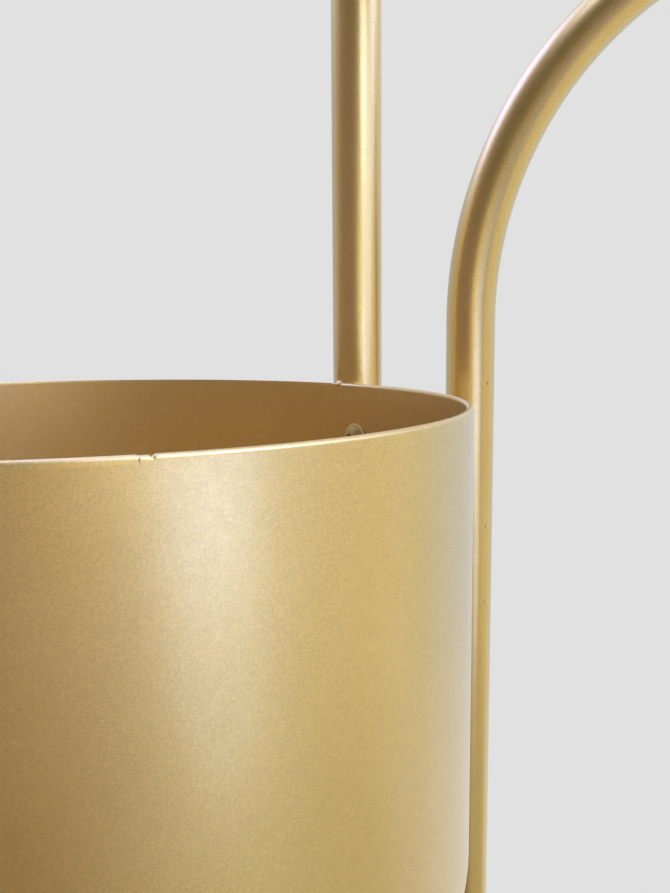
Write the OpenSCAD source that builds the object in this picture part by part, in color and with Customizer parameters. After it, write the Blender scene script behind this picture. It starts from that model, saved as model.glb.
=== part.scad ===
// Plant stand: one round pot screwed between the legs of a tall tube arch,
// with a lower and wider arch beside it, both standing on a weighted base plate.
// Millimetres. +Z is up, the front is -Y, and the origin is on the floor
// under the middle of the base plate.

/* [Pot] */
// Outer diameter of the pot
pot_d = 200; // [166:1:240]
// Height of the pot from its underside to its rim
pot_h = 140; // [116:1:170]
// Height of the pot's rim above the floor
rim_z = 480; // [420:1:560]
// Thickness of the pot's sheet
sheet_t = 1.8; // [1:0.1:2.5]
// Outer radius of the pot's bottom corner
pot_corner_r = 30; // [12:1:36]

/* [Arches] */
// Outer diameter of the tube
tube_d = 16; // [14:0.5:20]
// Wall of the tube
tube_wall = 1.2; // [0.9:0.1:1.6]
// Overall height of the tall arch
tall_h = 800; // [660:1:960]
// Distance between the tall arch's leg centres
tall_span = 155; // [129:1:180]
// Overall height of the low arch
low_h = 640; // [540:1:768]
// Distance between the low arch's leg centres
low_span = 264; // [220:1:317]
// Clear width between the tall arch and the low arch
arch_gap = 21.5; // [15:0.5:40]
// Height at which each leg is divided
joint_z = 250; // [180:1:320]

/* [Base] */
// Thickness of the base plate
base_t = 6; // [5:0.5:10]
// Radius of the base plate's corners
base_corner_r = 60; // [20:1:68]
// Plate in front of, behind and to the left of the pot
pot_margin = 15; // [10:1:40]
// Plate to the right of the low arch's last leg
leg_margin = 18; // [14:1:40]
// Diameter of each rubber pad
pad_d = 20; // [14:1:24]
// Thickness of each rubber pad
pad_t = 3; // [2:0.5:6]
// Distance from the plate's long edges to the pad centres
pad_inset = 17; // [14:1:20]
// Distance from the plate's short edges to the outer pad centres
pad_end_inset = 45; // [42:1:90]

/* [Fixings] */
// Length of the sleeve inside each leg joint
sleeve_len = 80; // [60:1:110]
// Wall of the sleeve
sleeve_wall = 2.5; // [1.5:0.1:3]
// Distance from a leg joint to each of its screws
joint_screw_offset = 20; // [12:1:28]
// Length of the threaded plug in each leg's foot
plug_len = 25; // [18:1:40]
// Diameter of the screws that hold the legs to the base plate
foot_screw_d = 8; // [6:0.5:8]
// Length of the screws that hold the legs to the base plate
foot_screw_len = 22; // [16:1:28]
// Diameter of the pot screws and joint screws
small_screw_d = 4; // [3:0.5:5]
// Depth of the upper pot screws below the rim
upper_screw_drop = 17; // [12:1:30]
// Depth of the lower pot screws below the rim
lower_screw_drop = 95; // [60:1:100]
// Height of each lug on the tall arch
lug_h = 14; // [10:1:20]
// Thickness of each lug
lug_t = 5; // [4.5:0.1:6]

/* [Clearances] */
// Gap between the pot and the tubes and lugs that it is drawn against
pot_clear = 0.2; // [0.1:0.05:0.5]
// Gap round a sleeve or plug inside its tube
sleeve_clear = 0.1; // [0.05:0.05:0.3]
// Gap round a screw in its thread and under its head
thread_clear = 0.05; // [0.02:0.01:0.1]
// Gap round a screw in a plain hole
hole_clear = 0.25; // [0.1:0.05:0.5]
// Least metal between a pot screw's thread and the tube beside it
thread_metal = 0.45; // [0.3:0.05:1]

/* [Hidden] */
$fn = 96;
cut = 1; // how far a cutting shape runs past a face

gold = [0.80, 0.68, 0.42];
zinc = [0.66, 0.67, 0.69];
rubber = [0.10, 0.10, 0.10];

pot_r = pot_d / 2;
pot_inner_r = pot_r - sheet_t;
tube_r = tube_d / 2;
bore_r = tube_r - tube_wall;
fit_r = bore_r - sleeve_clear;

// The pot's wall is tangent to both legs of the tall arch.
touch_r = pot_r + pot_clear + tube_r;
leg_y = sqrt(touch_r * touch_r - tall_span * tall_span / 4);
touch_angle = atan2(leg_y, tall_span / 2);

// The pot screws stand beside the tubes, so that no tube is drilled for them.
lug_floor = 1; // metal behind each pot screw's tip
lug_front_r = pot_r + pot_clear;
lug_screw_end_r = lug_front_r + lug_t - lug_floor;
thread_r = small_screw_d / 2 + thread_clear;
end_to_tube_axis = touch_r - lug_screw_end_r;
lug_axis_offset = thread_r + sqrt(pow(tube_r + thread_metal, 2) - pow(end_to_tube_axis, 2));
lug_angle = touch_angle - asin(lug_axis_offset / touch_r);

base_w = pot_margin + pot_r + tall_span / 2 + tube_d + arch_gap + low_span + tube_r + leg_margin;
base_d = pot_d + 2 * pot_margin;
base_top = pad_t + base_t;
pot_x = -base_w / 2 + pot_margin + pot_r;
pot_z = rim_z - pot_h;
tall_left_x = pot_x - tall_span / 2;
tall_right_x = pot_x + tall_span / 2;
low_left_x = tall_right_x + tube_d + arch_gap;
low_right_x = low_left_x + low_span;
leg_xs = [tall_left_x, tall_right_x, low_left_x, low_right_x];

tall_spring_z = tall_h - tube_r - tall_span / 2;
low_spring_z = low_h - tube_r - low_span / 2;

// Screw heads
small_head_d = 1.9 * small_screw_d;
small_head_h = 0.55 * small_screw_d;
small_socket_d = 0.72 * small_screw_d;
foot_head_d = 2 * foot_screw_d;
foot_head_h = 0.5 * foot_screw_d;
foot_socket_d = 0.72 * foot_screw_d;
washer_d = 2.25 * small_screw_d;
washer_t = 0.8;
// A flat washer touches the round wall at its two sides only.
washer_seat_r = sqrt(pot_inner_r * pot_inner_r - washer_d * washer_d / 4) - thread_clear;

// Lugs reach along the wall from the tube to past the screw.
lug_to_tube = 4.5;
lug_past_screw = 6.5;
pot_screw_len = lug_screw_end_r - (washer_seat_r - washer_t);
screw_past_sleeve = 2;
joint_screw_len = tube_wall + sleeve_wall + screw_past_sleeve;

pad_xs = [-1, 0, 1] * (base_w / 2 - pad_end_inset);

// Parts of several pieces

module rounded_rectangle(w, d, r) {
    square([w - 2 * r, d], center = true);
    square([w, d - 2 * r], center = true);
    for (x = [-1, 1], y = [-1, 1])
        translate([x * (w / 2 - r), y * (d / 2 - r)])
            circle(r = r);
}

module ring(r_out, r_in, h) {
    difference() {
        cylinder(r = r_out, h = h);
        translate([0, 0, -cut])
            cylinder(r = r_in, h = h + 2 * cut);
    }
}

module arch_rod(span, foot_z, spring_z, r) {
    for (side = [-1, 1])
        translate([side * span / 2, 0, foot_z])
            cylinder(r = r, h = spring_z - foot_z);
    translate([0, 0, spring_z])
        rotate([90, 0, 0])
            rotate_extrude(angle = 180)
                translate([span / 2, 0])
                    circle(r = r);
}

// Head above z = 0, shank below it, socket in the head's top.
module button_screw(len) {
    dome_h = 0.8 * small_head_h;
    dome_r = (small_head_d * small_head_d / 4 + dome_h * dome_h) / (2 * dome_h);
    difference() {
        union() {
            intersection() {
                cylinder(d = small_head_d, h = small_head_h);
                translate([0, 0, small_head_h - dome_r])
                    sphere(r = dome_r);
            }
            translate([0, 0, -len])
                cylinder(d = small_screw_d, h = len + small_head_h / 4);
        }
        translate([0, 0, 0.4 * small_head_h])
            linear_extrude(small_head_h)
                circle(d = small_socket_d, $fn = 6);
    }
}

// Children stand at each pot screw, with +X pointing out through the pot's wall.
module at_pot_screws() {
    for (side = [0, 1], drop = [upper_screw_drop, lower_screw_drop])
        translate([pot_x, 0, rim_z - drop])
            mirror([side, 0, 0])
                rotate([0, 0, lug_angle])
                    children();
}

// Children stand at the back of a leg at each joint screw, with +Z pointing backwards.
module at_joint_screws(xs, offsets) {
    for (x = xs, dz = offsets)
        translate([x, leg_y, joint_z + dz])
            rotate([-90, 0, 0])
                children();
}

module joint_screw_holes(xs, offsets, r) {
    at_joint_screws(xs, offsets)
        cylinder(r = r, h = tube_r + cut);
}

// Base

module base_plate() {
    color(gold)
        translate([0, 0, pad_t])
            difference() {
                linear_extrude(base_t)
                    rounded_rectangle(base_w, base_d, base_corner_r);
                for (x = leg_xs)
                    translate([x, leg_y, 0]) {
                        translate([0, 0, -cut])
                            cylinder(d = foot_screw_d + 2 * hole_clear, h = base_t + 2 * cut);
                        translate([0, 0, -hole_clear])
                            cylinder(d1 = foot_head_d + 2 * hole_clear, d2 = foot_screw_d + 2 * hole_clear,
                                h = foot_head_h + hole_clear);
                    }
            }
}

module base_pads() {
    color(rubber)
        for (x = pad_xs, side = [-1, 1])
            translate([x, side * (base_d / 2 - pad_inset), 0])
                cylinder(d = pad_d, h = pad_t);
}

module base_screws() {
    color(zinc)
        for (x = leg_xs)
            translate([x, leg_y, pad_t])
                difference() {
                    union() {
                        cylinder(d1 = foot_head_d, d2 = foot_screw_d, h = foot_head_h);
                        cylinder(d = foot_screw_d, h = foot_screw_len);
                    }
                    translate([0, 0, -cut])
                        linear_extrude(cut + 0.6 * foot_head_h)
                            circle(d = foot_socket_d, $fn = 6);
                }
}

module foot_plug(x) {
    color(zinc)
        translate([x, leg_y, base_top])
            ring(fit_r, foot_screw_d / 2 + thread_clear, plug_len);
}

// Legs and arches

module leg(x) {
    color(gold)
        difference() {
            translate([x, leg_y, base_top])
                ring(tube_r, bore_r, joint_z - base_top);
            joint_screw_holes([x], [-joint_screw_offset], small_screw_d / 2 + hole_clear);
        }
}

module sleeve(x) {
    color(zinc)
        difference() {
            translate([x, leg_y, joint_z - sleeve_len / 2])
                ring(fit_r, fit_r - sleeve_wall, sleeve_len);
            joint_screw_holes([x], [-joint_screw_offset, joint_screw_offset], thread_r);
        }
}

module joint_screws() {
    color(zinc)
        at_joint_screws(leg_xs, [-joint_screw_offset, joint_screw_offset])
            translate([0, 0, tube_r + thread_clear])
                button_screw(joint_screw_len);
}

module arch(left_x, span, spring_z) {
    color(gold)
        difference() {
            translate([left_x + span / 2, leg_y, 0])
                difference() {
                    arch_rod(span, joint_z, spring_z, tube_r);
                    arch_rod(span, joint_z - cut, spring_z, bore_r);
                }
            joint_screw_holes([left_x, left_x + span], [joint_screw_offset],
                small_screw_d / 2 + hole_clear);
        }
}

module pot_lugs() {
    color(gold)
        difference() {
            at_pot_screws()
                difference() {
                    translate([lug_front_r, -lug_past_screw, -lug_h / 2])
                        cube([lug_t, lug_past_screw + lug_to_tube, lug_h]);
                    translate([pot_r - cut, 0, 0])
                        rotate([0, 90, 0])
                            cylinder(r = thread_r,
                                h = lug_screw_end_r + thread_clear - pot_r + cut);
                }
            for (x = [tall_left_x, tall_right_x])
                translate([x, leg_y, pot_z])
                    cylinder(r = tube_r, h = pot_h);
        }
}

// Pot

// A strip of sheet on edge, with its top edge fully rounded.
module rounded_sheet(t, h) {
    square([t, h - t / 2]);
    translate([t / 2, h - t / 2])
        circle(d = t);
}

module pot_wall() {
    color(gold)
        difference() {
            translate([pot_x, 0, pot_z + pot_corner_r])
                rotate_extrude()
                    translate([pot_inner_r, 0])
                        rounded_sheet(sheet_t, pot_h - pot_corner_r);
            at_pot_screws()
                translate([pot_inner_r - cut, 0, 0])
                    rotate([0, 90, 0])
                        cylinder(r = small_screw_d / 2 + hole_clear, h = sheet_t + 2 * cut);
        }
}

module dish_outline(r, corner) {
    square([r - corner, corner]);
    translate([r - corner, corner])
        intersection() {
            circle(r = corner);
            translate([0, -corner])
                square(corner);
        }
}

module pot_dish() {
    color(gold)
        translate([pot_x, 0, pot_z])
            rotate_extrude()
                difference() {
                    dish_outline(pot_r, pot_corner_r);
                    translate([0, sheet_t])
                        dish_outline(pot_inner_r, pot_corner_r - sheet_t);
                }
}

module pot_screws() {
    color(gold)
        at_pot_screws()
            translate([washer_seat_r - washer_t - thread_clear, 0, 0])
                rotate([0, -90, 0])
                    button_screw(pot_screw_len);
}

module pot_washers() {
    color(rubber)
        at_pot_screws()
            translate([washer_seat_r - washer_t, 0, 0])
                rotate([0, 90, 0])
                    ring(washer_d / 2, thread_r, washer_t);
}

base_plate();
base_pads();
base_screws();
foot_plug(tall_left_x);  // foot_plug_tall_left
foot_plug(tall_right_x);  // foot_plug_tall_right
foot_plug(low_left_x);  // foot_plug_low_left
foot_plug(low_right_x);  // foot_plug_low_right
leg(tall_left_x);  // leg_tall_left
leg(tall_right_x);  // leg_tall_right
leg(low_left_x);  // leg_low_left
leg(low_right_x);  // leg_low_right
sleeve(tall_left_x);  // sleeve_tall_left
sleeve(tall_right_x);  // sleeve_tall_right
sleeve(low_left_x);  // sleeve_low_left
sleeve(low_right_x);  // sleeve_low_right
joint_screws();
arch(tall_left_x, tall_span, tall_spring_z);  // tall_arch
arch(low_left_x, low_span, low_spring_z);  // low_arch
pot_lugs();
pot_wall();
pot_dish();
pot_screws();
pot_washers();
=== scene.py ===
# Looks of the gold plant stand: finishes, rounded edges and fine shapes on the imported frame.
import math
import bmesh
import bpy
from mathutils import Matrix, Vector


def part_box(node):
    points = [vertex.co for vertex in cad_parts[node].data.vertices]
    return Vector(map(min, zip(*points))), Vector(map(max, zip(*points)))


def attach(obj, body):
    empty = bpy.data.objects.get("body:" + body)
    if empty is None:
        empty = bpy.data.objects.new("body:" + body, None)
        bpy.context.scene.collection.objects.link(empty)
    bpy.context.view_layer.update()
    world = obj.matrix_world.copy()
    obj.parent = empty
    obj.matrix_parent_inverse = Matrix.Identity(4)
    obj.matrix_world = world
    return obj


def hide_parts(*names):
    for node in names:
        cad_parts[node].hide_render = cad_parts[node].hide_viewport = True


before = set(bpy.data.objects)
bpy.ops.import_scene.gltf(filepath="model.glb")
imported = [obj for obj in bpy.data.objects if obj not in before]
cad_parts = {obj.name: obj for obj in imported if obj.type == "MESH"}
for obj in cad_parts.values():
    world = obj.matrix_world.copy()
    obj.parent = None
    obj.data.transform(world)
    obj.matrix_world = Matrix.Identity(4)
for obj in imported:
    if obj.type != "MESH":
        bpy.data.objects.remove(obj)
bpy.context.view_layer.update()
mm = 0.001
print("frame loaded:", len(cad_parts), "nodes")


# Places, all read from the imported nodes

def middleOf(node):
    low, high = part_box(node)
    return (low + high) / 2


wallLow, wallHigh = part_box("pot_wall")
dishLow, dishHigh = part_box("pot_dish")
plateLow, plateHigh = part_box("base_plate")
padLow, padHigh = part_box("base_pads")
legNames = ["tall_left", "tall_right", "low_left", "low_right"]
legCentres = [middleOf("leg_" + name) for name in legNames]
legLow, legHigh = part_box("leg_tall_left")
potCentre = middleOf("pot_wall")
potRadius = (wallHigh.x - wallLow.x) / 2
rimHeight = wallHigh.z
tubeRadius = (legHigh.x - legLow.x) / 2
tubeLine = middleOf("leg_tall_left").y
jointHeight = legHigh.z

mergeWithin = 0.001 * mm    # points closer than this become one
cutBeyond = 1 * mm          # how far a cutting shape reaches past the surface
holeSides = 48
seatGap = 0.05 * mm         # under the heads of the small screws


# Mesh helpers

def gridMesh(name, rows, wrapRows=False, startPole=None, endPole=None):
    # Each row is a closed loop of points, and faces join each row to the next.
    count = len(rows[0])
    points = [tuple(point) for row in rows for point in row]
    faces = []
    for index in range(len(rows) if wrapRows else len(rows) - 1):
        here = index * count
        there = (index + 1) % len(rows) * count
        for column in range(count):
            beside = (column + 1) % count
            faces.append((here + column, here + beside, there + beside, there + column))
    if startPole is not None:
        points.append(tuple(startPole))
        pole = len(points) - 1
        faces += [(pole, (column + 1) % count, column) for column in range(count)]
    if endPole is not None:
        points.append(tuple(endPole))
        pole = len(points) - 1
        last = (len(rows) - 1) * count
        faces += [(pole, last + column, last + (column + 1) % count) for column in range(count)]
    mesh = bpy.data.meshes.new(name)
    mesh.from_pydata(points, [], faces)
    mesh.shade_smooth()
    return mesh


def sharpened(mesh, degrees):
    mesh.set_sharp_from_angle(angle=math.radians(degrees))
    return mesh


def newObject(name, mesh):
    thing = bpy.data.objects.new(name, mesh)
    bpy.context.scene.collection.objects.link(thing)
    return thing


def arcPoints(centre, radius, startDegrees, endDegrees, steps):
    # Points of an arc in a profile, as (across, up) pairs.
    angles = [math.radians(startDegrees + (endDegrees - startDegrees) * step / steps)
              for step in range(steps + 1)]
    return [(centre[0] + radius * math.cos(angle), centre[1] + radius * math.sin(angle))
            for angle in angles]


def between(start, end, share):
    return start + (end - start) * share


def evenAngles(count):
    return [2 * math.pi * index / count for index in range(count)]


def turnProfile(profile, angles, centre=(0, 0, 0)):
    # The rows of a turned shape: one ring for each (radius, height) of the profile.
    return [[(centre[0] + radius * math.cos(angle), centre[1] + radius * math.sin(angle),
              centre[2] + height) for angle in angles] for radius, height in profile]


def holeCutter(start, direction, length, radius):
    # A rod that cuts one round hole, from the start along the direction.
    rows = turnProfile([(radius, 0), (radius, length)], evenAngles(holeSides))
    mesh = gridMesh("cutter", rows, startPole=(0, 0, 0), endPole=(0, 0, length))
    turn = Vector(direction).to_track_quat("Z", "Y").to_matrix().to_4x4()
    mesh.transform(Matrix.Translation(start) @ turn)
    return mesh


def cutAway(piece, cutterMeshes, sharpDegrees):
    # Cuts each of these shapes out of the piece.
    for cutterMesh in cutterMeshes:
        cutter = newObject("cutter", cutterMesh)
        cut = piece.modifiers.new("cut", "BOOLEAN")
        cut.operation = "DIFFERENCE"
        cut.solver = "EXACT"
        cut.object = cutter
        evaluated = piece.evaluated_get(bpy.context.evaluated_depsgraph_get())
        made = bpy.data.meshes.new_from_object(evaluated)
        piece.modifiers.remove(cut)
        bpy.data.objects.remove(cutter)
        piece.data = made
    # A cut that runs through a corner leaves two points there, which become one.
    work = bmesh.new()
    work.from_mesh(piece.data)
    bmesh.ops.remove_doubles(work, verts=work.verts, dist=mergeWithin)
    work.to_mesh(piece.data)
    work.free()
    piece.data.name = piece.name
    sharpened(piece.data, sharpDegrees)
    return piece


def giveMaterial(piece, material):
    piece.data.materials.clear()
    piece.data.materials.append(material)


def finishPiece(piece, material, slotName, *nodes):
    giveMaterial(piece, material)
    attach(piece, "root")
    if nodes:
        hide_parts(*nodes)


# Finishes

def newMaterial(name):
    material = bpy.data.materials.new(name)
    material.use_nodes = True
    return material, material.node_tree, material.node_tree.nodes["Principled BSDF"]


def addNode(tree, kind, values=None, **settings):
    node = tree.nodes.new(kind)
    for key, value in settings.items():
        setattr(node, key, value)
    for key, value in (values or {}).items():
        node.inputs[key].default_value = value
    return node


def noiseAt(tree, size, detail, roughness=0.5):
    # Noise whose grains are about this size, in metres on the object.
    coordinates = addNode(tree, "ShaderNodeTexCoord")
    noise = addNode(tree, "ShaderNodeTexNoise",
                    {"Scale": 1 / size, "Detail": detail, "Roughness": roughness})
    tree.links.new(coordinates.outputs["Object"], noise.inputs["Vector"])
    return noise.outputs["Fac"]


def cellsAt(tree, size):
    # Random cells about this size; returns the distance and the random colour of each cell.
    coordinates = addNode(tree, "ShaderNodeTexCoord")
    cells = addNode(tree, "ShaderNodeTexVoronoi", {"Scale": 1 / size})
    tree.links.new(coordinates.outputs["Object"], cells.inputs["Vector"])
    return cells.outputs["Distance"], cells.outputs["Color"]


def remap(tree, source, fromLow, fromHigh, toLow, toHigh):
    node = addNode(tree, "ShaderNodeMapRange", {"From Min": fromLow, "From Max": fromHigh,
                                                "To Min": toLow, "To Max": toHigh})
    tree.links.new(source, node.inputs["Value"])
    return node.outputs["Result"]


def softNoise(tree, size, detail, low, high):
    # Noise of this size whose middle values run from low to high.
    return remap(tree, noiseAt(tree, size, detail), 0.3, 0.7, low, high)


def calculate(tree, operation, first, second=0.0):
    node = addNode(tree, "ShaderNodeMath", operation=operation)
    for socket, value in zip(node.inputs, (first, second)):
        if isinstance(value, (int, float)):
            socket.default_value = value
        else:
            tree.links.new(value, socket)
    return node.outputs["Value"]


def mixColours(tree, factor, first, second, blend="MIX"):
    node = addNode(tree, "ShaderNodeMix", data_type="RGBA", blend_type=blend)
    sockets = (node.inputs[0], node.inputs[6], node.inputs[7])
    for socket, value in zip(sockets, (factor, first, second)):
        if isinstance(value, bpy.types.NodeSocket):
            tree.links.new(value, socket)
        else:
            socket.default_value = value if isinstance(value, float) else (*value, 1.0)
    return node.outputs[2]


def bumpFrom(tree, height, depth, under=None):
    node = addNode(tree, "ShaderNodeBump", {"Strength": 1.0, "Distance": depth})
    tree.links.new(height, node.inputs["Height"])
    if under is not None:
        tree.links.new(under, node.inputs["Normal"])
    return node.outputs["Normal"]


goldLook = {
    "colour": (0.84, 0.64, 0.28),
    "deepColour": (0.82, 0.62, 0.265),    # where the sprayed coat lies thicker
    "fleckColour": (1.0, 0.90, 0.60),     # painted glints: single flakes painted paler, standing in for flakes that catch the light
    "patchSize": 14 * mm,
    "patchRange": (0.35, 0.65),
    "patchShare": 0.6,                    # of the deep colour, in the middle of a patch
    "mottleSize": 2.4 * mm,
    "mottleShare": 0.4,
    "peelSize": 1.3 * mm,                 # orange peel
    "peelDepth": 0.004 * mm,
    "flakeSize": 0.32 * mm,
    "flakeDepth": 0.003 * mm,
    "flakeContrast": 0.10,
    "fleckSpacing": 2.6 * mm,
    "fleckShare": 0.09,                   # a fleck's radius, as a share of that spacing
    "fleckStrength": 0.8,
    "fleckChance": (0.55, 0.75),          # a cell's random value where flecks begin and are full
    "roughLow": 0.42,
    "roughHigh": 0.47,
    "coat": 1.0,
    "coatRoughness": 0.20,
}
# The drawn tube is smoother under its paint than the rolled sheet.
tubeGoldLook = dict(goldLook, roughLow=0.32, roughHigh=0.37, coatRoughness=0.16)
# The screw heads are sprayed without a clear coat, so they are duller; their colour is also painted darker,
# as painted shade for the shade they sit in inside the pot.
shadedScrewGoldLook = dict(goldLook, colour=(0.66, 0.54, 0.20), deepColour=(0.63, 0.51, 0.185),
                     fleckColour=(0.8, 0.7, 0.4), roughLow=0.68, roughHigh=0.78, coat=0.0)


def goldPaint(name, look):
    material, tree, shader = newMaterial(name)
    clouds = noiseAt(tree, look["patchSize"], 3.0)
    patches = remap(tree, clouds, *look["patchRange"], 0.0, look["patchShare"])
    mottle = softNoise(tree, look["mottleSize"], 2.0, 0.0, look["mottleShare"])
    depthOfCoat = calculate(tree, "ADD", patches, mottle)
    colour = mixColours(tree, depthOfCoat, look["colour"], look["deepColour"])
    flakeColour = cellsAt(tree, look["flakeSize"])[1]
    contrast = look["flakeContrast"]
    shade = remap(tree, flakeColour, 0.0, 1.0, 1 - contrast, 1 + contrast)
    shadeAll = addNode(tree, "ShaderNodeCombineColor")
    for socket in shadeAll.inputs[:3]:
        tree.links.new(shade, socket)
    colour = mixColours(tree, 1.0, colour, shadeAll.outputs["Color"], "MULTIPLY")
    # Painted glints: some of these cells get the paler fleck colour, in place of flakes catching the light.
    fleckDistance, fleckColour = cellsAt(tree, look["fleckSpacing"])
    share = look["fleckShare"]
    paintedGlint = remap(tree, fleckDistance, share, share * 0.5, 0.0, look["fleckStrength"])
    chosen = remap(tree, fleckColour, *look["fleckChance"], 0.0, 1.0)
    colour = mixColours(tree, calculate(tree, "MULTIPLY", paintedGlint, chosen), colour, look["fleckColour"])
    tree.links.new(colour, shader.inputs["Base Color"])
    rough = softNoise(tree, look["mottleSize"], 3.0, look["roughLow"], look["roughHigh"])
    tree.links.new(rough, shader.inputs["Roughness"])
    peel = bumpFrom(tree, noiseAt(tree, look["peelSize"], 2.0), look["peelDepth"])
    flakes = bumpFrom(tree, flakeColour, look["flakeDepth"], peel)
    tree.links.new(flakes, shader.inputs["Normal"])
    shader.inputs["Metallic"].default_value = 1.0
    shader.inputs["Coat Weight"].default_value = look["coat"]
    shader.inputs["Coat Roughness"].default_value = look["coatRoughness"]
    return material


zincLook = {
    "colour": (0.62, 0.63, 0.64),
    "tint": (0.60, 0.64, 0.68),           # faint blue of the passivated coat
    "cloudSize": 4 * mm,
    "grainSize": 0.25 * mm,
    "grainDepth": 0.002 * mm,
    "roughLow": 0.26,
    "roughHigh": 0.38,
}


def zincSteel(look):
    material, tree, shader = newMaterial("zincSteel")
    clouds = softNoise(tree, look["cloudSize"], 3.0, 0.0, 1.0)
    tree.links.new(mixColours(tree, clouds, look["colour"], look["tint"]), shader.inputs["Base Color"])
    rough = softNoise(tree, look["grainSize"], 2.0, look["roughLow"], look["roughHigh"])
    tree.links.new(rough, shader.inputs["Roughness"])
    grain = bumpFrom(tree, noiseAt(tree, look["grainSize"], 3.0), look["grainDepth"])
    tree.links.new(grain, shader.inputs["Normal"])
    shader.inputs["Metallic"].default_value = 1.0
    return material


rubberLook = {
    "colour": (0.035, 0.035, 0.036),
    "dustColour": (0.075, 0.073, 0.070),  # dust and bloom on the moulded skin
    "dustSize": 3 * mm,
    "dustRange": (0.4, 0.7),
    "grainSize": 0.4 * mm,
    "grainDepth": 0.02 * mm,
    "roughLow": 0.62,
    "roughHigh": 0.82,
}
# The pot's washers are of a natural tan rubber.
tanRubberLook = dict(rubberLook, colour=(0.50, 0.36, 0.14), dustColour=(0.56, 0.42, 0.19))


def rubberSkin(name, look):
    material, tree, shader = newMaterial(name)
    dust = remap(tree, noiseAt(tree, look["dustSize"], 4.0, 0.6), *look["dustRange"], 0.0, 1.0)
    tree.links.new(mixColours(tree, dust, look["colour"], look["dustColour"]), shader.inputs["Base Color"])
    rough = softNoise(tree, look["dustSize"], 2.0, look["roughLow"], look["roughHigh"])
    tree.links.new(rough, shader.inputs["Roughness"])
    grain = bumpFrom(tree, noiseAt(tree, look["grainSize"], 2.0), look["grainDepth"])
    tree.links.new(grain, shader.inputs["Normal"])
    return material


gold = goldPaint("goldPaint", goldLook)
# Gold painted darker, as painted shade, for the screw heads inside the pot.
screwGold = goldPaint("screwGold", shadedScrewGoldLook)
tubeGold = goldPaint("tubeGold", tubeGoldLook)
zinc = zincSteel(zincLook)
rubber = rubberSkin("rubberSkin", rubberLook)
tanRubber = rubberSkin("tanRubber", tanRubberLook)
print("finishes made")


# Geometry Nodes helpers

def newTree(name, inputs):
    # A tree that takes a geometry and these named inputs, given as (name, socket type, value).
    tree = bpy.data.node_groups.new(name, "GeometryNodeTree")
    tree.interface.new_socket("Geometry", in_out="INPUT", socket_type="NodeSocketGeometry")
    for inputName, kind, value in inputs:
        socket = tree.interface.new_socket(inputName, in_out="INPUT", socket_type=kind)
        if value is not None:
            socket.default_value = value
    tree.interface.new_socket("Geometry", in_out="OUTPUT", socket_type="NodeSocketGeometry")
    return tree, tree.nodes.new("NodeGroupInput"), tree.nodes.new("NodeGroupOutput")


def endTree(tree, groupIn, groupOut, geometry):
    realize = addNode(tree, "GeometryNodeRealizeInstances")
    paint = addNode(tree, "GeometryNodeSetMaterial")
    tree.links.new(geometry, realize.inputs["Geometry"])
    tree.links.new(realize.outputs["Geometry"], paint.inputs["Geometry"])
    tree.links.new(groupIn.outputs["Material"], paint.inputs["Material"])
    tree.links.new(paint.outputs["Geometry"], groupOut.inputs["Geometry"])


def runTree(name, startMesh, tree, values):
    # Runs the tree on a mesh and keeps the result as a plain mesh object.
    maker = newObject(name + ".maker", startMesh)
    modifier = maker.modifiers.new("make", "NODES")
    modifier.node_group = tree
    for item in tree.interface.items_tree:
        if item.in_out == "INPUT" and item.name in values:
            modifier[item.identifier] = values[item.name]
    evaluated = maker.evaluated_get(bpy.context.evaluated_depsgraph_get())
    mesh = bpy.data.meshes.new_from_object(evaluated)
    mesh.name = name
    maker.modifiers.remove(modifier)
    bpy.data.objects.remove(maker)
    return newObject(name, mesh)


# Tubes: the arches and their lower legs

tubeLook = {
    "wall": 1.2 * mm,
    "endRound": 0.35 * mm,      # rounding of the deburred, painted ends
    "endSteps": 6,
    "rings": (3 * mm, 12 * mm, 28 * mm),    # from the tube's end; its screw hole is between two
    "sides": 72,
    "bendStep": 1.5,            # degrees for each step of a bend
    "mergeWithin": 0.002 * mm,
    "holeRadius": 2.25 * mm,
    "holeRise": 20 * mm,        # joint screws above and below each leg joint
    "sharp": 40,                # degrees; only the holes' edges are sharper
}


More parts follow.
